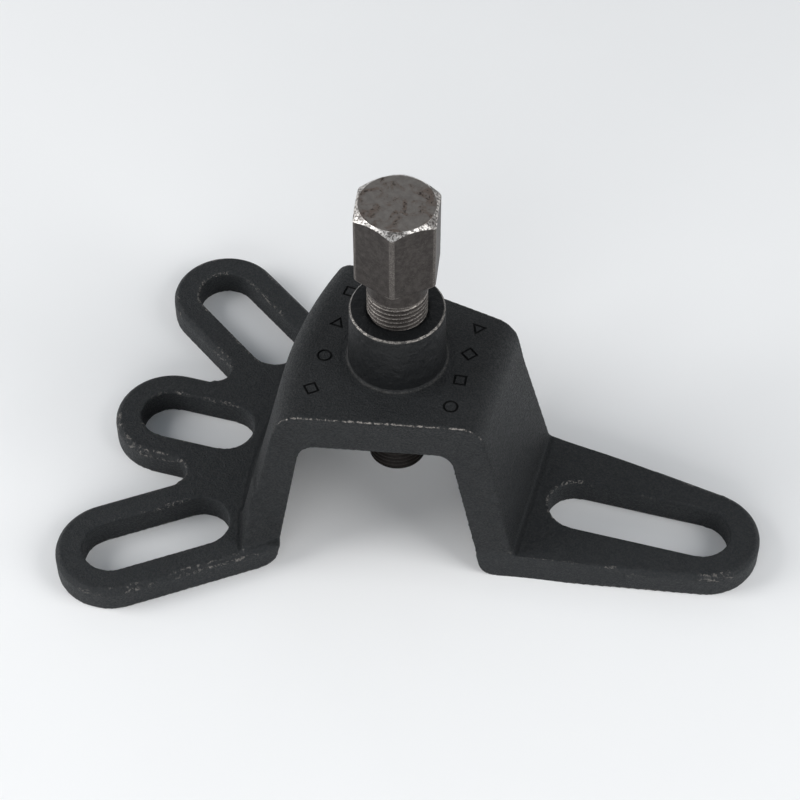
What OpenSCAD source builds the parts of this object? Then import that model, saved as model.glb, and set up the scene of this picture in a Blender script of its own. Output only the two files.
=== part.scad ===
// Stud-mounted hub and half-shaft puller: a forged bridge that is bolted to the
// wheel studs through its slots, and a forcing screw that presses on the axle's end.
// Millimetres. Origin: screw axis, level with the underside of the feet.
// +X points along the single arm, +Z up along the screw towards its hex head.

/* [Bridge plate] */
// height of the plate's top face above the underside of the feet
plate_top = 55; // [40:0.5:80]
// thickness of the plate
plate_t = 12; // [8:0.5:16]
// half the plate's depth, measured at the screw axis
plate_half = 24.8; // [20:0.1:30]
// how much each side comes in per millimetre towards the single arm
plate_taper = 0.194; // [0:0.002:0.3]
// how much each leg widens per millimetre below the plate
leg_flare = 0.142; // [0:0.002:0.25]
// outside radius of the bends between plate and legs
bend_out = 7; // [3:0.5:12]
// inside radius of the same bends
bend_in = 5; // [2:0.5:8]
// radius where a leg's inner face turns into the underside of its foot
sole_in = 5; // [2:0.5:8]
// radius in the corner between a leg and the top of its foot
root_r = 2.5; // [1:0.5:5]

/* [Fan-side leg] */
// distance from the screw axis to the centre that the fan-side leg is curved about
bow_x = 84; // [60:1:200]
// outer corner of plate and fan-side leg, on the centre line
fan_out = 28.3; // [24:0.1:36]
// outward lean of that leg's outer face, millimetres per millimetre
fan_out_lean = 0.222; // [0:0.002:0.4]
// inner corner of plate and fan-side leg, on the centre line
fan_in = 22.7; // [18:0.1:28]
// outward lean of that leg's inner face
fan_in_lean = 0.184; // [0:0.002:0.4]

/* [Single-arm leg] */
// outer corner of plate and single-arm leg
arm_out = 27.8; // [24:0.1:36]
// outward lean of that leg's outer face
arm_out_lean = 0.236; // [0:0.002:0.4]
// inner corner of plate and single-arm leg
arm_in = 20.3; // [16:0.1:26]
// outward lean of that leg's inner face
arm_in_lean = 0.251; // [0:0.002:0.4]

/* [Feet and slots] */
// thickness of the feet
foot_t = 8; // [5:0.5:12]
// bevel along the feet's upper edges
foot_bevel = 1.2; // [0.5:0.1:2]
// width of every stud slot
slot_w = 16; // [10:0.5:22]
// single arm: radius of the slot's inner and outer end centres
long_slot = [52, 87]; // [40:1:120]
// single arm: end radius
long_end_r = 15.4; // [12:0.1:20]
// single arm: half width where it leaves the leg
long_root = 23.6; // [18:0.1:30]
// middle fan arm: radius of the slot's inner and outer end centres
mid_slot = [51, 68]; // [40:1:120]
// outer fan arms: radius of the slot's inner and outer end centres
side_slot = [58, 83.5]; // [40:0.5:120]
// half width of the three fan arms, also their end radius
fan_r = 15.6; // [12:0.1:20]
// angle between the middle and each outer fan arm
fan_angle = 36; // [30:1:60]
// radius in the notches between the fan arms
notch_r = 4; // [2:0.5:8]

/* [Threaded boss] */
// height of the boss above the plate
boss_h = 19; // [10:0.5:30]
// radius of the boss at its top edge, below the bevel
boss_r_top = 12.7; // [10:0.1:16]
// radius of the boss where it meets the plate
boss_r_foot = 13.2; // [10:0.1:17]
// width of the bevel at the boss's top edge
boss_bevel = 0.8; // [0.3:0.1:2]
// running clearance between the screw's crests and the boss, on the radius
thread_gap = 0.05; // [0.02:0.01:0.1]

/* [Forcing screw] */
// outer radius of the thread
screw_r = 8; // [6:0.5:12]
// thread pitch
pitch = 1.5; // [1:0.25:2.5]
// height of the screw's lower end
screw_end = 15; // [5:0.5:40]
// height where the thread stops below the head
thread_top = 82.2; // [60:0.1:88]
// radius of the plain neck above the thread
neck_r = 7.9; // [6:0.1:8]
// height of the head's lower face
head_z = 89; // [80:0.5:100]
// height of the hex head
head_h = 23; // [12:0.5:30]
// width across the flats of the head
head_af = 21; // [17:0.5:30]
// radius of the flat on top of the head
crown_r = 9.9; // [8:0.1:12]
// turn of the head about the screw axis, degrees
head_turn = 9.4; // [0:0.1:60]

/* [Tip ball] */
// radius of the hardened ball seated in the screw's end
ball_r = 4; // [2:0.1:5]
// height of the ball's centre
ball_z = 15.4; // [10:0.1:30]
// clearance between the ball and its pocket, on the radius
ball_gap = 0.1; // [0.05:0.01:0.3]

/* [Hidden] */
$fn = 96;
under = plate_top - plate_t;
taper_deg = atan(plate_taper);
slot_r = slot_w / 2;
bore_r = screw_r + thread_gap;
boss_top = plate_top + boss_h;
groove = 0.6134 * pitch;
long_cx = long_slot[1] + 1;
long_deg = asin((long_root - long_end_r) / (long_cx - 40));
head_corner = head_af / sqrt(3);
notch_x = (fan_r + notch_r) / tan(fan_angle / 2);

function unit(v) = v / norm(v);

// points along the arc of radius r that rounds corner p, from the side of a to the side of b
function rounding(p, a, b, r, n = 10) =
    let (
        u = unit(a - p),
        v = unit(b - p),
        half = acos(u * v) / 2,
        c = p + unit(u + v) * r / sin(half),
        s = p + u * r / tan(half) - c,
        e = p + v * r / tan(half) - c,
        from = atan2(s[1], s[0]),
        raw = atan2(e[1], e[0]) - from,
        turn = raw > 180 ? raw - 360 : (raw < -180 ? raw + 360 : raw)
    )
    [for (i = [0 : n]) c + r * [cos(from + turn * i / n), sin(from + turn * i / n)]];

// the same run of points, carried on straight past its first or last point
function carried_back(q, d) = concat([q[0] + d * unit(q[0] - q[1])], q);
function carried_on(q, d) = concat(q, [q[len(q) - 1] + d * unit(q[len(q) - 1] - q[len(q) - 2])]);

// outer face of a leg: bend at the plate, straight face, radius at its foot
function outer_face(top_x, lean) =
    let (
        corner = [top_x, plate_top],
        root = [top_x + lean * (plate_top - foot_t + 0.3), foot_t - 0.3]
    )
    concat(
        rounding(corner, [0, plate_top], root, bend_out),
        carried_on(rounding(root, corner, root + [9, 0], root_r, 6), 1)
    );

// inner face of a leg: bend under the plate, straight face, radius into the sole
function inner_face(top_x, lean) =
    let (
        corner = [top_x, under],
        mouth = [top_x + lean * under, 0]
    )
    concat(
        rounding(corner, [0, under], mouth, bend_in, 8),
        carried_on(rounding(mouth, corner, [mouth[0] + 9, 0], sole_in, 8), 1)
    );

function last(q) = q[len(q) - 1];

module along_y() {
    translate([0, 60, 0])
        rotate([90, 0, 0])
            linear_extrude(height = 120)
                children();
}

// the fan-side leg is turned about an upright axis, so it bows outwards
module about_bow() {
    translate([bow_x, 0, 0])
        rotate_extrude()
            translate([bow_x, 0])
                children();
}

// everything beyond the fan-side leg's outer face
module beyond_fan_leg() {
    q = carried_back(outer_face(fan_out, fan_out_lean), 2);
    about_bow()
        polygon(concat(
            [[q[0][0], plate_top + 9]],
            q,
            [[last(q)[0], 0], [fan_out + 33, 0], [fan_out + 33, plate_top + 9]]
        ));
}

// the space under the bridge, open to the front, the back and below
module arch() {
    right = inner_face(arm_in, arm_in_lean);
    left = carried_back(inner_face(fan_in, fan_in_lean), 2);
    intersection() {
        along_y()
            polygon(concat([[-48, -3], [-48, under]], right, [[last(right)[0], -3]]));
        about_bow()
            polygon(concat(
                [[20 - bow_x, -4], [20 - bow_x, under + 6], [left[0][0], under + 6]],
                left,
                [[last(left)[0], -4]]
            ));
    }
}

// takes one side of the bridge down to its taper and to the legs' flare
module side_cut() {
    rotate([0, 0, taper_deg])
        translate([-90, 0, 0])
            rotate([90, 0, 90])
                linear_extrude(height = 180)
                    polygon([
                        [-plate_half * cos(taper_deg), plate_top + 5],
                        [-plate_half * cos(taper_deg), under],
                        [-(plate_half + leg_flare * (under + 5)) * cos(taper_deg), -5],
                        [-90, -5],
                        [-90, plate_top + 5]
                    ]);
}

// plate and legs as one block, before the arch is taken out
module bridge_block() {
    q = outer_face(arm_out, arm_out_lean);
    difference() {
        along_y()
            polygon(concat([[-46, 1], [-46, plate_top]], q, [[last(q)[0], 1]]));
        beyond_fan_leg();
        side_cut();
        mirror([0, 1, 0]) side_cut();
    }
}

// section of the bevel cut along an arm's upper edge, for an arm of half width r
module bevel_section(r) {
    polygon([
        [r - foot_bevel - 1, foot_t + 1],
        [r + 1, foot_t - foot_bevel - 1],
        [r + 1, foot_t + 1]
    ]);
}

// straight length of that bevel, on the left of an arm that runs along +X
module bevel_run(r, from, to) {
    translate([from, 0, 0])
        rotate([90, 0, 90])
            linear_extrude(height = to - from)
                bevel_section(r);
}

// the same bevel round an arm's end, over the given angle
module bevel_end(r, x, angle) {
    translate([x, 0, 0])
        rotate([0, 0, -angle / 2])
            rotate_extrude(angle = angle)
                bevel_section(r);
}

module capsule(end_r) {
    translate([24, -fan_r]) square([end_r - 24, 2 * fan_r]);
    translate([end_r, 0]) circle(r = fan_r);
}

// fills the root of the notch between two neighbouring fan arms
module notch() {
    half = fan_angle / 2;
    v = fan_r / sin(half) * [cos(half), sin(half)];
    q = rounding(v, v + [30, 0], v + 30 * [cos(fan_angle), sin(fan_angle)], notch_r, 8);
    along = [cos(fan_angle), sin(fan_angle)];
    across = [-sin(fan_angle), cos(fan_angle)];
    polygon(concat(
        [v + [-8, -6], q[0] + [-1, -6]],
        q,
        [last(q) - along + 6 * across, v + 6 * across - 8 * along]
    ));
}

module fan() {
    rotate([0, 0, 180])
        difference() {
            linear_extrude(height = foot_t) {
                capsule(mid_slot[1]);
                rotate(fan_angle) capsule(side_slot[1]);
                rotate(-fan_angle) capsule(side_slot[1]);
                notch();
                mirror([0, 1]) notch();
            }
            bevel_end(fan_r, mid_slot[1], 180);
            bevel_run(fan_r, notch_x, mid_slot[1]);
            mirror([0, 1, 0]) bevel_run(fan_r, notch_x, mid_slot[1]);
            rotate([0, 0, fan_angle]) {
                bevel_end(fan_r, side_slot[1], 180);
                bevel_run(fan_r, 42, side_slot[1]);
                mirror([0, 1, 0]) bevel_run(fan_r, notch_x, side_slot[1]);
            }
            rotate([0, 0, -fan_angle]) {
                bevel_end(fan_r, side_slot[1], 180);
                bevel_run(fan_r, notch_x, side_slot[1]);
                mirror([0, 1, 0]) bevel_run(fan_r, 42, side_slot[1]);
            }
        }
}

module long_arm_side() {
    run = (long_cx - 40) / cos(long_deg);
    translate([long_cx, 0, 0])
        rotate([0, 0, -long_deg])
            bevel_run(long_end_r, -run, 0);
}

module long_arm() {
    tx = long_cx + long_end_r * sin(long_deg);
    ty = long_end_r * cos(long_deg);
    root_y = ty + (tx - 24) * tan(long_deg);
    difference() {
        linear_extrude(height = foot_t) {
            polygon([[24, -root_y], [tx, -ty], [tx, ty], [24, root_y]]);
            translate([long_cx, 0]) circle(r = long_end_r);
        }
        bevel_end(long_end_r, long_cx, 180 - 2 * long_deg);
        long_arm_side();
        mirror([0, 1, 0]) long_arm_side();
    }
}

module slot(span) {
    translate([span[0], 0, -1]) cylinder(r = slot_r, h = foot_t + 2);
    translate([span[1], 0, -1]) cylinder(r = slot_r, h = foot_t + 2);
    translate([span[0], -slot_r, -1]) cube([span[1] - span[0], slot_w, foot_t + 2]);
}

module boss() {
    rotate_extrude()
        polygon([
            [0, under + 2],
            [boss_r_foot, under + 2],
            [boss_r_foot + 1.2, plate_top - 0.5],
            [boss_r_foot, plate_top + 0.7],
            [boss_r_top, boss_top - boss_bevel],
            [boss_r_top - boss_bevel, boss_top],
            [0, boss_top]
        ]);
}

module threaded_hole() {
    translate([0, 0, under - 1]) cylinder(r = bore_r, h = boss_top - under + 2);
    translate([0, 0, boss_top - 0.8]) cylinder(r1 = bore_r, r2 = bore_r + 1, h = 1);
    translate([0, 0, under - 0.2]) cylinder(r1 = bore_r + 1, r2 = bore_r, h = 1);
}

module yoke() {
    color([0.15, 0.16, 0.17])
        difference() {
            union() {
                bridge_block();
                fan();
                long_arm();
                boss();
            }
            arch();
            slot(long_slot);
            rotate([0, 0, 180]) slot(mid_slot);
            rotate([0, 0, 180 + fan_angle]) slot(side_slot);
            rotate([0, 0, 180 - fan_angle]) slot(side_slot);
            threaded_hole();
        }
}

// one thread tooth after another, as parallel rings
module thread_section() {
    turns = floor((thread_top - screw_end - 2.4) / pitch);
    low = thread_top - turns * pitch;
    teeth = [
        for (i = [0 : turns - 1])
            each [
                [screw_r, low + i * pitch + 0.06 * pitch],
                [screw_r - groove, low + i * pitch + 0.44 * pitch],
                [screw_r - groove, low + i * pitch + 0.56 * pitch],
                [screw_r, low + i * pitch + 0.94 * pitch]
            ]
    ];
    polygon(concat(
        [[0, screw_end], [screw_r - 1.2, screw_end], [screw_r, screw_end + 1.2]],
        teeth,
        [[screw_r, thread_top], [neck_r, thread_top + 0.1], [neck_r, head_z + 1], [0, head_z + 1]]
    ));
}

module head() {
    intersection() {
        translate([0, 0, head_z])
            rotate([0, 0, head_turn - 90])
                cylinder(r = head_corner, h = head_h, $fn = 6);
        rotate_extrude()
            polygon([
                [0, head_z],
                [head_corner - 1.2, head_z],
                [head_corner + 0.3, head_z + 0.8],
                [head_corner + 0.3, head_z + head_h - 2],
                [crown_r, head_z + head_h],
                [0, head_z + head_h]
            ]);
    }
}

module forcing_screw() {
    color([0.42, 0.4, 0.38])
        difference() {
            union() {
                rotate_extrude() thread_section();
                head();
            }
            translate([0, 0, screw_end - 1])
                cylinder(r = ball_r + ball_gap, h = ball_z + ball_r + ball_gap - screw_end + 1);
        }
}

module tip_ball() {
    color([0.7, 0.7, 0.72])
        translate([0, 0, ball_z])
            sphere(r = ball_r);
}

yoke();
forcing_screw();
tip_ball();
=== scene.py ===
"""A hub puller: a black forged yoke that bolts to the wheel studs, and the forcing screw in its boss."""

import contextlib
import math

import bpy
import numpy as np
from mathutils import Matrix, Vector


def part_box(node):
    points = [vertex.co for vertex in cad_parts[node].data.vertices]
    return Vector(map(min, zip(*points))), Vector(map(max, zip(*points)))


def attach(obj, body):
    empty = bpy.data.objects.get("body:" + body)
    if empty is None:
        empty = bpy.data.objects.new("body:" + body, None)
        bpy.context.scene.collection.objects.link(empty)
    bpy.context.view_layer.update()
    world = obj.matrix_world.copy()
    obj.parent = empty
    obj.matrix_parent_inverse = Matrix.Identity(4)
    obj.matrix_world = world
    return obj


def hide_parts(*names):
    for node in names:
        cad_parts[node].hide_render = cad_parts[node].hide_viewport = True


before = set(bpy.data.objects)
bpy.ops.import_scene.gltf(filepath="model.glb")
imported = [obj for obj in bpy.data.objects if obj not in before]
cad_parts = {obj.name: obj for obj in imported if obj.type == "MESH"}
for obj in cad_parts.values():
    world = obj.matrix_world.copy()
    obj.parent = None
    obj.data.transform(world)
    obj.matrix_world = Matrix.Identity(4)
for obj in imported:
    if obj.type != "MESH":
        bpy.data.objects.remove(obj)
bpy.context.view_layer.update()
MM = 0.001


# ---------------------------------------------------------------- camera
# A still camera on a stand looks down on the bench from the front, a little to
# the right of the screw, through a long lens that keeps the forging's lines straight.

camera_azimuth = math.radians(15.955)
camera_elevation = math.radians(49.861)
camera_distance = 641.93 * MM
camera_aim = Vector((0.73 * MM, 0, 36.46 * MM))
lens_mm = 105.85
sensor_mm = 36
clear_near = 10 * MM


def add_camera():
    towards = Vector(
        (
            math.sin(camera_azimuth) * math.cos(camera_elevation),
            -math.cos(camera_azimuth) * math.cos(camera_elevation),
            math.sin(camera_elevation),
        )
    )
    bpy.ops.object.camera_add(location=camera_aim + camera_distance * towards)
    camera = bpy.context.object
    camera.rotation_euler = towards.to_track_quat("Z", "Y").to_euler()
    camera.data.lens = lens_mm
    camera.data.sensor_width = sensor_mm
    camera.data.clip_start = clear_near
    bpy.context.scene.camera = camera


add_camera()


# ---------------------------------------------------------------- bench and lights
# The tool stands on a sheet of white card. Soft boxes light it from the left, the
# right and the front, and the pale room is darker overhead than at the horizon.


class Wire:
    """A shader value that Python's operators work on; each one adds its Math node."""

    def __init__(self, finish, socket):
        self.finish = finish
        self.socket = socket

    def math(self, operation, *others):
        return self.finish.node(
            "ShaderNodeMath",
            {"operation": operation},
            {i: value for i, value in enumerate((self, *others))},
        )

    def __add__(self, other):
        return self.math("ADD", other)

    def __sub__(self, other):
        return self.math("SUBTRACT", other)

    def __rsub__(self, other):
        return (self * -1) + other

    def __mul__(self, other):
        return self.math("MULTIPLY", other)

    def __pow__(self, other):
        return self.math("POWER", other)

    __radd__ = __add__
    __rmul__ = __mul__

    def step(self, low, high):
        """0 below low, 1 above high, and a smooth ramp between them."""
        return self.finish.node(
            "ShaderNodeMapRange",
            {"interpolation_type": "SMOOTHSTEP"},
            {"Value": self, "From Min": low, "From Max": high},
        )

    def between(self, low, low_full, high_full, high):
        """1 from low_full to high_full, with smooth ramps down to 0 at low and at high."""
        return self.step(low, low_full) * (1 - self.step(high_full, high))


class Finish:
    """One material, and the ways in which its nodes are added."""

    def __init__(self, name):
        self.material = bpy.data.materials.new(name)
        self.material.use_nodes = True
        self.tree = self.material.node_tree
        self.surface = self.tree.nodes["Principled BSDF"]
        self.place = None

    def node(self, kind, settings, values, output=0):
        """A new node with its settings made and its inputs fed; gives back one output."""
        made = self.tree.nodes.new(kind)
        for key, value in settings.items():
            setattr(made, key, value)
        for key, value in values.items():
            self.feed(made.inputs[key], value)
        return Wire(self, made.outputs[output])

    def feed(self, socket, value):
        """Links a wire, or sets a number or a colour of red, green and blue."""
        if isinstance(value, Wire):
            self.tree.links.new(value.socket, socket)
        elif isinstance(value, tuple):
            socket.default_value = (*value, 1)
        else:
            socket.default_value = value

    def set(self, **values):
        """Sockets of the surface, by name with _ for a space."""
        for key, value in values.items():
            self.feed(self.surface.inputs[key.replace("_", " ")], value)

    def where(self):
        if self.place is None:
            self.place = self.node("ShaderNodeTexCoord", {}, {}, "Object")
        return self.place

    def along(self, axis):
        return self.node("ShaderNodeSeparateXYZ", {}, {0: self.where()}, axis)

    def places(self):
        """A point's x, y and z, and its distance from the screw's axis."""
        x, y, z = self.along("X"), self.along("Y"), self.along("Z")
        return x, y, z, (x * x + y * y) ** 0.5

    def noise(self, size, detail=3, rough=0.55, warp=0.0):
        """Noise whose lumps are about size metres across."""
        return self.node(
            "ShaderNodeTexNoise",
            {},
            {
                "Vector": self.where(),
                "Scale": 1 / size,
                "Detail": detail,
                "Roughness": rough,
                "Distortion": warp,
            },
        )

    def mix(self, share, a, b):
        """Colour a where share is 0, and b where it is 1."""
        colour_a, colour_b, colour_out = 6, 7, 2
        return self.node(
            "ShaderNodeMix",
            {"data_type": "RGBA"},
            {0: share, colour_a: a, colour_b: b},
            colour_out,
        )

    def bump(self, height, depth, below=None):
        """A relief of height 0 to 1, depth metres deep."""
        values = {"Height": height, "Distance": depth, "Strength": 1.0}
        if below is not None:
            values["Normal"] = below
        return self.node("ShaderNodeBump", {}, values)


floor_size = 6.0
floor_below = 0.02 * MM
light_aim = Vector((0, 0, 30 * MM))
horizon_colour = (1.0, 0.99, 0.98, 1)
overhead_colour = (0.27, 0.30, 0.33, 1)
overhead_from = 0.75
room_strength = 0.8


def card_finish():
    card = Finish("white_card")
    mottle = card.noise(50 * MM, detail=2)
    greys = (0.88, 0.88, 0.88), (0.90, 0.90, 0.90)
    card.set(Base_Color=card.mix(mottle, *greys), Roughness=0.9, Specular_IOR_Level=0.2)
    return card.material


def add_bench():
    bpy.ops.object.select_all(action="DESELECT")
    bpy.ops.mesh.primitive_plane_add(size=floor_size, location=(0, 0, -floor_below))
    bench = bpy.context.object
    bench.name = "bench"
    bench.data.materials.append(card_finish())


def add_soft_box(name, place, size, watts):
    bpy.ops.object.light_add(type="AREA", location=place)
    lamp = bpy.context.object
    lamp.name = name
    lamp.data.shape = "RECTANGLE"
    lamp.data.size, lamp.data.size_y = size
    lamp.data.energy = watts
    lamp.rotation_euler = (Vector(place) - light_aim).to_track_quat("Z", "Y").to_euler()


def add_room():
    world = bpy.data.worlds.new("pale_room")
    bpy.context.scene.world = world
    world.use_nodes = True
    tree = world.node_tree
    ground = tree.nodes["Background"]
    direction = tree.nodes.new("ShaderNodeTexCoord")
    split = tree.nodes.new("ShaderNodeSeparateXYZ")
    ramp = tree.nodes.new("ShaderNodeValToRGB")
    horizon, overhead = ramp.color_ramp.elements
    horizon.position = 0.0
    horizon.color = horizon_colour
    overhead.position = overhead_from
    overhead.color = overhead_colour
    tree.links.new(direction.outputs["Generated"], split.inputs[0])
    tree.links.new(split.outputs["Z"], ramp.inputs[0])
    tree.links.new(ramp.outputs[0], ground.inputs[0])
    ground.inputs[1].default_value = room_strength


add_bench()
add_room()
add_soft_box("left_box", (-1.0, -0.35, 0.55), (0.7, 1.0), 11)
add_soft_box("right_box", (1.0, -0.2, 0.6), (0.7, 1.0), 8)
add_soft_box("front_box", (0.1, -1.2, 0.5), (1.2, 0.5), 6)
bpy.context.scene.view_settings.view_transform = "Standard"


# ---------------------------------------------------------------- yoke
# The yoke is a steel drop forging: plate, two legs and four slotted arms in one
# piece, left with its forged skin, blackened, then faced and threaded at the boss.

pitch = 1.5 * MM
screw_r = 8.0 * MM
outer_thread_depth = 0.613 * pitch
inner_thread_depth = 0.541 * pitch
boss_tall = 19 * MM
plate_thick = 12 * MM
boss_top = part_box("yoke")[1].z
plate_top = boss_top - boss_tall
plate_under = plate_top - plate_thick
boss_r = 12.7 * MM
voxel = 0.42 * MM
same_place = 0.001 * MM
flat_weight = 80
fine_steps = 144


def only(*things):
    """Selects these objects alone, the last one active."""
    bpy.ops.object.select_all(action="DESELECT")
    for thing in things:
        thing.select_set(True)
    bpy.context.view_layer.objects.active = things[-1]


def applied(thing, kind, **settings):
    """Adds a modifier with these settings and applies it."""
    only(thing)
    modifier = thing.modifiers.new(kind.lower(), kind)
    for key, value in settings.items():
        setattr(modifier, key, value)
    bpy.ops.object.modifier_apply(modifier=modifier.name)
    return thing


def cut(thing, tool, operation="DIFFERENCE"):
    """A boolean with tool, which is used up."""
    applied(thing, "BOOLEAN", operation=operation, object=tool, solver="EXACT")
    bpy.data.objects.remove(tool)
    return thing


def settled(thing):
    """Puts the object's place, turn and size into its mesh."""
    only(thing)
    bpy.ops.object.transform_apply(location=True, rotation=True, scale=True)
    return thing


@contextlib.contextmanager
def editing(thing):
    """Edit mode on this object, with its whole mesh selected at the start."""
    only(thing)
    bpy.ops.object.mode_set(mode="EDIT")
    bpy.ops.mesh.select_all(action="SELECT")
    yield
    bpy.ops.object.mode_set(mode="OBJECT")


def drawn(name, points, ring=True):
    """An outline in the XZ plane, drawn point by point, and closed if it is a ring."""
    bpy.ops.object.select_all(action="DESELECT")
    start = Vector((points[0][0], 0, points[0][1]))
    bpy.ops.mesh.primitive_circle_add(vertices=3, radius=MM, location=start)
    shape = settled(bpy.context.object)
    shape.name = name
    with editing(shape):
        bpy.ops.mesh.merge(type="CENTER")
        for (x0, z0), (x1, z1) in zip(points, points[1:]):
            bpy.ops.mesh.extrude_region_move(
                TRANSFORM_OT_translate={"value": (x1 - x0, 0, z1 - z0)}
            )
        if ring:
            bpy.ops.mesh.select_all(action="SELECT")
            bpy.ops.mesh.edge_face_add()
            bpy.ops.mesh.delete(type="ONLY_FACE")
    return shape


def outwards(thing):
    """Merges doubles, then turns every face outwards."""
    with editing(thing):
        bpy.ops.mesh.remove_doubles(threshold=same_place)
        bpy.ops.mesh.normals_make_consistent(inside=False)
    return thing


def cleaned(thing):
    """Takes out the slivers that booleans leave."""
    with editing(thing):
        bpy.ops.mesh.remove_doubles(threshold=4 * same_place)
        bpy.ops.mesh.dissolve_degenerate(threshold=2 * same_place)
    return thing


def smoothed(thing, angle):
    """Smooth shading up to an angle, in which large faces keep their own direction."""
    only(thing)
    bpy.ops.object.shade_smooth_by_angle(angle=math.radians(angle))
    applied(thing, "WEIGHTED_NORMAL", keep_sharp=True, weight=flat_weight)


def turned(name, points, steps=fine_steps):
    """A solid of revolution from an outline that starts and ends on the screw's axis."""
    shape = drawn(name, points, ring=False)
    with editing(shape):
        bpy.ops.mesh.spin(
            steps=steps, angle=2 * math.pi, center=(0, 0, 0), axis=(0, 0, 1), use_auto_merge=False
        )
    return outwards(shape)


def coil(name, section, low, turns, steps=72):
    """A closed section wound right-handed up the screw's axis, with its two ends capped."""
    shape = drawn(name, [(x, z + low) for x, z in section])
    applied(
        shape,
        "SCREW",
        angle=2 * math.pi,
        steps=steps,
        render_steps=steps,
        iterations=turns,
        screw_offset=pitch,
        axis="Z",
        use_merge_vertices=False,
    )
    with editing(shape):
        bpy.ops.mesh.remove_doubles(threshold=2 * same_place)
        bpy.ops.mesh.select_all(action="DESELECT")
        bpy.ops.mesh.select_non_manifold()
        bpy.ops.mesh.edge_face_add()
    return outwards(shape)


def rows_of(items, key, width, kind=float):
    """One property of all vertices or edges, a row for each."""
    values = np.empty(len(items) * width, kind)
    items.foreach_get(key, values)
    return values.reshape(-1, width)


def lumps_attribute(thing, name, passes):
    """Stores how far each vertex stands out of the surface round it.

    The value is 0.5 on a flat, up to 1 on an edge, and down to 0 in a corner.
    """
    mesh = thing.data
    count = len(mesh.vertices)
    places = rows_of(mesh.vertices, "co", 3)
    normals = rows_of(mesh.vertices, "normal", 3)
    a, b = rows_of(mesh.edges, "vertices", 2, int).T
    valence = np.bincount(a, minlength=count) + np.bincount(b, minlength=count)
    smooth = places.copy()
    for _ in range(passes):
        total = np.stack(
            [
                np.bincount(a, smooth[b, k], count) + np.bincount(b, smooth[a, k], count)
                for k in range(3)
            ],
            1,
        )
        smooth = 0.5 * smooth + 0.5 * total / valence[:, None]
    proud = ((places - smooth) * normals).sum(1)
    full_range = 0.5 * MM
    layer = mesh.attributes.new(name, "FLOAT", "POINT")
    layer.data.foreach_set("value", np.clip(0.5 + proud / full_range, 0, 1).astype(np.float32))


def forged_blank():
    """The forging as it leaves the dies: soft edges, a solid boss, a little stock on its top."""
    only(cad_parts["yoke"])
    bpy.ops.object.duplicate()
    blank = bpy.context.object
    blank.name = "forged_yoke"
    blank.parent = None
    for key in list(blank.keys()):
        del blank[key]
    outwards(blank)
    core_low = plate_under + 0.6 * MM
    core_r = boss_r - 1.5 * MM
    stock_top = boss_top + 2 * MM
    core = turned(
        "boss_core",
        [
            (0, core_low),
            (core_r, core_low),
            (core_r, plate_top),
            (boss_r, boss_top - MM),
            (boss_r, stock_top),
            (0, stock_top),
        ],
        steps=96,
    )
    for stock in (core, leg_web(-1), leg_web(1)):
        cut(blank, stock, "UNION")
    applied(blank, "REMESH", mode="VOXEL", voxel_size=voxel)
    draw_in_arm(blank)
    applied(blank, "SMOOTH", factor=0.5, iterations=9)
    lumps_attribute(blank, "worn", passes=12)
    applied(blank, "DECIMATE", ratio=0.2)
    return blank


def leg_web(side):
    """Stock between the fan-side leg's edge and the outer arm; side is -1 front, 1 back."""
    low, high = 5.5 * MM, 26 * MM
    middle = (-28.5 * MM, side * 37 * MM, (low + high) / 2)
    edge_face = (-23.6 * MM, side * 34.4 * MM, 8 * MM), (0.58, side * 0.75, 0.31)
    outer_face = (-33.6 * MM, side * 38 * MM, 8 * MM), (-1, side * 0.33, 0.222)
    inner_face = (-23.6 * MM, side * 36 * MM, 8 * MM), (1, side * -0.33, 0.184)
    bpy.ops.object.select_all(action="DESELECT")
    bpy.ops.mesh.primitive_cube_add(size=1, location=middle)
    web = bpy.context.object
    web.scale = (19 * MM, 18 * MM, high - low)
    settled(web)
    with editing(web):
        for place, direction in (edge_face, outer_face, inner_face):
            bpy.ops.mesh.select_all(action="SELECT")
            bpy.ops.mesh.bisect(
                plane_co=place, plane_no=direction, use_fill=True, clear_outer=True
            )
    return outwards(web)


def draw_in_arm(blank):
    """Gives the single arm's sides the leg's draft near the leg, so that leg and foot are one face."""
    half_depth = 24.8 * MM
    taper = 0.194
    flare = 0.142
    leg_side = 20 * MM
    arm_start = 38 * MM
    arm_free = 70 * MM
    foot_high = 12 * MM
    step_there = 1.75 * MM
    for vertex in blank.data.vertices:
        x, y, z = vertex.co
        if x < leg_side or x > arm_free or z > foot_high:
            continue
        t = min(max((x - arm_start) / (arm_free - arm_start), 0), 1)
        eased = t * t * (3 - 2 * t)
        limit = half_depth - taper * x + flare * (plate_under - z) + step_there * eased
        if abs(y) > limit:
            vertex.co.y = math.copysign(limit, y)


def facing_tool():
    """What the lathe takes off: stock on the boss, a bevel round its rim, and a skim round its foot."""
    bevel = 0.5 * MM
    fillet = 0.5 * MM
    foot_r = boss_r + 0.5 * MM
    skim = 0.05 * MM
    skim_r = 15.3 * MM
    clear_r = skim_r + 5 * MM
    clear_z = plate_top + 5 * skim
    high = boss_top + 6 * MM
    return turned(
        "facing_tool",
        [
            (0, boss_top),
            (boss_r - bevel, boss_top),
            (boss_r, boss_top - bevel),
            (foot_r, plate_top + fillet),
            (foot_r + 0.3 * fillet, plate_top + 0.3 * fillet),
            (foot_r + fillet, plate_top - skim),
            (skim_r, plate_top - skim),
            (skim_r + 6 * skim, clear_z),
            (clear_r, clear_z),
            (clear_r, high),
            (0, high),
        ],
    )


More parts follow.
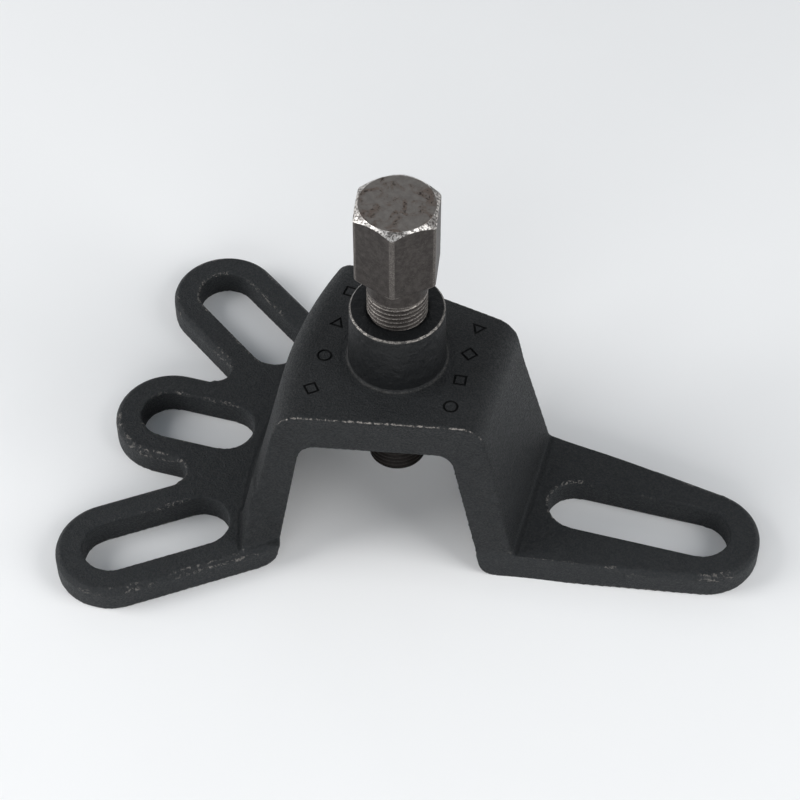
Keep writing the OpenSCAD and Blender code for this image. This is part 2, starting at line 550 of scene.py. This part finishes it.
def tap():
    """The tapped hole: the core drill, its two countersinks, and the thread's grooves."""
    core_r = screw_r - inner_thread_depth
    clear = 0.06 * MM
    sink = 1.0 * MM
    wide_r = screw_r + sink + 0.3 * MM
    low = plate_under - MM
    high = boss_top + MM
    drill = turned(
        "tap_drill",
        [
            (0, low),
            (wide_r, low),
            (wide_r, plate_under - 0.3 * MM),
            (core_r, plate_under + sink),
            (core_r, boss_top - sink),
            (screw_r + sink, boss_top),
            (screw_r + sink, high),
            (0, high),
        ],
    )
    outer = screw_r + clear
    deep = 0.105 * pitch
    wide = 0.485 * pitch
    root = core_r - 0.3 * MM
    section = [(root, -wide), (outer, -deep), (outer, deep), (root, wide)]
    spare_turns = 3
    turns = math.ceil((boss_top - plate_under) / pitch) + spare_turns
    grooves = coil("tap_grooves", section, thread_phase(plate_under - 2 * pitch), turns)
    return drill, grooves


def thread_phase(near):
    """The height nearest to this one at which a ridge crosses the half plane y = 0, x > 0."""
    return round(near / pitch) * pitch


round_mark = 32
ring_r = 2.1 * MM
mark_r = 2.5 * MM
mark_stroke = 0.62 * MM
mark_depth = 0.4 * MM


def punch(corners, place, turn):
    """The tool for one mark: the thin wall of a ring, triangle, square or diamond."""
    bpy.ops.object.select_all(action="DESELECT")
    bpy.ops.mesh.primitive_circle_add(
        vertices=corners,
        radius=ring_r if corners == round_mark else mark_r,
        fill_type="NGON",
        location=place,
        rotation=(0, 0, math.radians(turn)),
    )
    mark = settled(bpy.context.object)
    with editing(mark):
        bpy.ops.mesh.inset(thickness=mark_stroke)
        bpy.ops.mesh.delete(type="FACE")
        bpy.ops.mesh.select_all(action="SELECT")
        bpy.ops.mesh.extrude_region_move(TRANSFORM_OT_translate={"value": (0, 0, 2 * mark_depth)})
    return outwards(mark)


def stamps():
    """Plain shop marks in two rows beside the boss: rings, squares, triangles and diamonds."""
    # A row's x, its marks' y in mm, their corners, and how far the row leans in degrees.
    rows = (
        (-18.6 * MM, (-17.5, -5.5, 6.5, 18.5), (4, round_mark, 3, 4), -6),
        (18.4 * MM, (-13.5, -4.0, 5.5, 15.0), (round_mark, 4, 4, 3), 6),
    )
    marks = []
    for x, places, corners, lean in rows:
        for at, (y, count) in enumerate(zip(places, corners)):
            place = (x, y * MM, plate_top - mark_depth)
            marks.append(punch(count, place, 45 * (at % 2) + lean))
    only(*marks)
    bpy.ops.object.join()
    return bpy.context.object


yoke = forged_blank()
cut(yoke, facing_tool())
drill, grooves = tap()
cut(yoke, drill)
cut(yoke, grooves)
cut(yoke, stamps())
cleaned(yoke)
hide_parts("yoke")
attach(yoke, "bridge")


def forged_finish():
    skin = Finish("blackened_forging")
    blue_black, grey_black = (0.0030, 0.0046, 0.0058), (0.0080, 0.0100, 0.0115)
    foot_grey = (0.0150, 0.0180, 0.0205)
    speckle_grey = (0.024, 0.024, 0.0245)
    # painted shade for the hollow corners at the legs' feet
    painted_corner_shade = (0.0025, 0.0030, 0.0034)
    boss_black = (0.0045, 0.0050, 0.0056)
    stamp_black = (0.0015, 0.0018, 0.0020)
    bare_steel = (0.30, 0.28, 0.26)

    x, y, z, radius = skin.places()
    grain = skin.noise(0.55 * MM, detail=5, rough=0.7)
    scale = skin.noise(2.4 * MM, detail=5, rough=0.6, warp=0.4)
    cloud = skin.noise(14 * MM, detail=3)
    scratch = skin.noise(1.0 * MM, detail=5, rough=0.7, warp=1.0)

    # What the lathe and the drill cut carries no forging wear.
    near_axis = 1 - radius.step(15.6 * MM, 16.2 * MM)
    machined = z.step(plate_top - 1.5 * MM, plate_top - MM) * near_axis
    forged = (1 - machined) * radius.step(9.2 * MM, 9.5 * MM)
    boss = z.step(plate_top + 0.2 * MM, plate_top + MM) * near_axis

    # Wear on the forged edges: nearly unbroken round the plate, rare on the legs,
    # in patches on the feet.
    worn = skin.node("ShaderNodeAttribute", {"attribute_name": "worn"}, {}, "Fac")
    plate = z.step(plate_top - 10 * MM, plate_top - 5 * MM)
    feet = 1 - z.step(8.5 * MM, 10 * MM)
    rubbed = (worn + (scratch - 0.5) * 0.6 + plate * 0.06).step(0.94, 1.02) * (1 - feet)
    patches = worn.step(0.60, 0.68) * scratch.step(0.53, 0.60) * cloud.step(0.48, 0.58) * feet

    # The lathe's two bright rings on the boss: its rim, and the skim round its foot.
    rim_edge = 0.55 * MM, 0.4 * MM
    rim = radius.step(*(boss_r - inset for inset in rim_edge))
    rim = rim * z.step(*(boss_top - drop for drop in rim_edge))
    skim = radius.between(13.2 * MM, 13.4 * MM, 13.75 * MM, 13.95 * MM)
    skim = skim * z.between(*(plate_top + rise * MM for rise in (-1, -0.5, 0.3, 0.7)))
    bare = (rubbed * 0.8 + patches * 0.6) * forged
    bare = bare + rim * (0.12 + scratch.step(0.46, 0.54) * 0.55)
    bare = bare + skim * scratch.step(0.38, 0.55) * 0.10

    # The stamps are painted darker and rougher than the plate, and carry no wear. They are the only
    # places just under the plate's top between the boss and the plate's bends and edges.
    aside, ahead = (x * x) ** 0.5, (y * y) ** 0.5
    stamped = z.between(*(plate_top + rise * MM for rise in (-1, -0.7, -0.14, -0.05)))
    stamped = stamped * radius.step(14 * MM, 14.5 * MM) * (1 - aside.step(21.2 * MM, 21.4 * MM))
    stamped = stamped * (1 - (ahead + x * 0.1).step(19.6 * MM, 19.8 * MM))
    bare = bare * (1 - stamped)

    # Painted shade: the hollow corners at the legs' feet are darkened, and made rougher.
    corner_shade = (1 - worn.step(0.32, 0.46)) * (1 - z.step(10 * MM, 12 * MM)) * forged
    speckle = grain.step(0.40, 0.62)
    black = skin.mix(scale.step(0.35, 0.7), blue_black, grey_black)
    black = skin.mix(feet * 0.5, black, foot_grey)
    black = skin.mix(speckle * 0.5, black, speckle_grey)
    # Painted shade in the hollow corners at the legs' feet.
    black = skin.mix(corner_shade * 0.45, black, painted_corner_shade)
    black = skin.mix(boss * 0.8, black, boss_black)
    black = skin.mix(stamped, black, stamp_black)
    sheen = speckle * 0.16 + bare * 0.15 + boss * 0.14
    relief = skin.bump(scale, 0.4 * MM)
    skin.set(
        Base_Color=skin.mix(bare, black, bare_steel),
        Roughness=0.64 - sheen + stamped * 0.25 + corner_shade * 0.3,
        Metallic=bare,
        Specular_IOR_Level=0.30,
        Normal=skin.bump(grain * (1 - boss * 0.8), 0.5 * MM, relief),
    )
    return skin.material


yoke.data.materials.clear()
yoke.data.materials.append(forged_finish())
smoothed(yoke, angle=40)


# ---------------------------------------------------------------- forcing screw
# The forcing screw is one turned bar: a hexagon milled at the top and bevelled,
# a plain neck, and a rolled right-hand thread down to the pocket for its ball.

head_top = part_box("forcing_screw")[1].z
screw_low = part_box("forcing_screw")[0].z
head_tall = 23 * MM
neck_tall = 6.8 * MM
head_low = head_top - head_tall
neck_low = head_low - neck_tall
neck_r = 7.9 * MM
across_flats = 21 * MM
crown_r = 9.9 * MM
crown_drop = 2.0 * MM
head_turn = math.radians(9.4)
ball_r = 4.0 * MM
ball_z = screw_low + 0.4 * MM
hex_corner_r = across_flats / math.sqrt(3)
lathe_r = hex_corner_r + 0.3 * MM


def threaded_bar():
    """The bar below the head: bevelled end, thread, neck, and the pocket that holds the ball."""
    end_bevel = 1.2 * MM
    pocket_r = ball_r + 0.1 * MM
    pocket_top = ball_z + ball_r + 0.1 * MM
    bar = turned(
        "forcing_screw_bar",
        [
            (0, pocket_top),
            (pocket_r, pocket_top),
            (pocket_r, ball_z + 0.3 * MM),
            (ball_r + 0.03 * MM, screw_low),
            (screw_r - end_bevel, screw_low),
            (screw_r, screw_low + end_bevel),
            (screw_r, neck_low),
            (neck_r, neck_low + 0.1 * MM),
            (neck_r, head_low + MM),
            (0, head_low + MM),
        ],
    )
    beyond = 0.1 * MM
    outer = screw_r + beyond
    root_r = screw_r - outer_thread_depth
    wide = 0.44 * pitch + 0.62 * beyond
    narrow = 0.06 * pitch
    section = [(outer, -wide), (outer, wide), (root_r, narrow), (root_r, -narrow)]
    start = thread_phase(screw_low - pitch) + 0.5 * pitch
    turns = math.floor((neck_low - start) / pitch)
    grooves = coil("thread_grooves", section, start, turns)
    # The groove rises out of the bar in its last half turn.
    run_out = 0.5 * pitch
    run_out_rise = 0.9 * outer_thread_depth
    finish = start + turns * pitch
    for vertex in grooves.data.vertices:
        lift = (vertex.co.z - (finish - run_out)) / run_out
        if lift > 0:
            vertex.co.xy *= 1 + min(lift, 1) * run_out_rise / vertex.co.xy.length
    return cut(bar, grooves)


def hexagon():
    """The head: a hexagonal prism with its ends turned to a bevel, and its edges broken."""
    bpy.ops.object.select_all(action="DESELECT")
    bpy.ops.mesh.primitive_cylinder_add(
        vertices=6,
        radius=hex_corner_r,
        depth=head_top - head_low,
        location=(0, 0, (head_top + head_low) / 2),
        rotation=(0, 0, head_turn),
    )
    head = settled(bpy.context.object)
    edges_only = {"limit_method": "ANGLE", "angle_limit": math.radians(50)}
    applied(head, "BEVEL", width=0.6 * MM, segments=2, **edges_only)
    lathe = turned(
        "head_lathe",
        [
            (0, head_low),
            (hex_corner_r - 1.2 * MM, head_low),
            (lathe_r, head_low + 0.8 * MM),
            (lathe_r, head_top - crown_drop),
            (crown_r, head_top),
            (0, head_top),
        ],
    )
    return cut(head, lathe, "INTERSECT")


screw = threaded_bar()
cut(screw, hexagon(), "UNION")
screw.name = "turned_forcing_screw"
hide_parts("forcing_screw")
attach(screw, "screw")


def turned_finish():
    steel = Finish("grey_brown_steel")
    oxide = (0.034, 0.029, 0.027), (0.062, 0.055, 0.051)
    oxide_fleck = (0.120, 0.110, 0.100)
    sawn = (0.185, 0.168, 0.155), (0.240, 0.222, 0.205)
    sawn_stain = (0.150, 0.108, 0.086)
    pit_black = (0.018, 0.015, 0.014)
    # painted shade for the bar below the plate
    under_plate_shade = (0.014, 0.012, 0.011)
    groove_oxide = (0.022, 0.018, 0.016)
    rubbed_steel = (0.40, 0.37, 0.34)
    bright_steel = (0.72, 0.69, 0.66)

    _, _, z, radius = steel.places()
    mottle = steel.noise(1.6 * MM, detail=5, rough=0.65)
    grain = steel.noise(0.3 * MM, detail=3)
    pits = steel.noise(0.55 * MM, detail=3, rough=0.6)
    stain = steel.noise(4.5 * MM, detail=4, rough=0.6, warp=0.8)

    # Milled flats and neck: grey brown oxide.
    tone = steel.mix(mottle.step(0.35, 0.7), *oxide)
    tone = steel.mix(grain.step(0.55, 0.75) * 0.5, tone, oxide_fleck)

    # The sawn top: paler, with brown stains and dark pits.
    crown = z.step(head_top - 0.06 * MM, head_top - 0.02 * MM)
    top = steel.mix(mottle.step(0.3, 0.7), *sawn)
    top = steel.mix(stain.step(0.45, 0.65) * 0.7, top, sawn_stain)
    top = steel.mix(stain.step(0.50, 0.60) * pits.step(0.52, 0.62) * 0.8, top, pit_black)
    tone = steel.mix(crown, tone, top)

    # The bevel round the top is freshly turned: bright, with some pits left in it.
    fall = (radius - crown_r) * (crown_drop / (lathe_r - crown_r))
    on_bevel = 1 - (head_top - z - fall).step(0.03 * MM, 0.12 * MM)
    bevelled = on_bevel * radius.step(crown_r - 0.05 * MM, crown_r)
    bright = bevelled * (0.15 + pits.step(0.42, 0.55) * 0.85) * (1 - stain.step(0.52, 0.62) * 0.7)

    # Painted shade: below the plate the bar is darker.
    above = z.step(plate_under, plate_top)
    tone = steel.mix((1 - above) * 0.55, tone, under_plate_shade)

    # Rubbed bright: the hexagon's corners and its lower rim, and the thread's crests.
    corners = radius.step(hex_corner_r - 0.46 * MM, hex_corner_r - 0.30 * MM)
    corners = corners * (0.08 + grain.step(0.4, 0.65) * 0.22)
    lower_rim = 1 - z.step(head_low + 0.4 * MM, head_low + 0.8 * MM)
    lower_rim = lower_rim * radius.step(11.0 * MM, 11.2 * MM) * 0.35
    threaded = 1 - z.step(neck_low - 0.5 * MM, neck_low)
    crest = radius.step(screw_r - 0.3 * MM, screw_r - 0.05 * MM) * threaded * grain.step(0.35, 0.6)
    groove = (1 - radius.step(screw_r - 0.75 * MM, screw_r - 0.35 * MM)) * threaded
    tone = steel.mix(groove, tone, groove_oxide)
    # Below the plate the crests get little of the rubbed steel: painted shade there.
    tone = steel.mix(corners + lower_rim + crest * (0.06 + above * 0.5), tone, rubbed_steel)
    tone = steel.mix(bright, tone, bright_steel)
    relief = steel.bump(grain, 0.04 * MM, steel.bump(mottle, 0.06 * MM))
    steel.set(
        Base_Color=tone,
        Roughness=0.5 - crest * 0.15 - bright * 0.12 + (mottle - 0.5) * 0.15,
        Metallic=0.7 + bright * 0.3,
        Normal=steel.bump(pits, 0.05 * MM, relief),
    )
    return steel.material


screw.data.materials.clear()
screw.data.materials.append(turned_finish())
smoothed(screw, angle=28)


# ---------------------------------------------------------------- tip ball
# A hardened bearing ball is staked into the screw's end, so that the tip can rest
# in the axle's centre hole while the screw turns round it.


def add_ball():
    bpy.ops.object.select_all(action="DESELECT")
    bpy.ops.mesh.primitive_ico_sphere_add(subdivisions=5, radius=ball_r, location=(0, 0, ball_z))
    ball = settled(bpy.context.object)
    ball.name = "staked_ball"
    only(ball)
    bpy.ops.object.shade_smooth()
    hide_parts("tip_ball")
    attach(ball, "tip")
    shine = Finish("ground_ball")
    smear = shine.noise(0.9 * MM, detail=4)
    shine.set(
        Base_Color=shine.mix(smear, (0.45, 0.45, 0.46), (0.62, 0.61, 0.60)),
        Roughness=0.12 + smear * 0.15,
        Metallic=1.0,
    )
    ball.data.materials.append(shine.material)


add_ball()
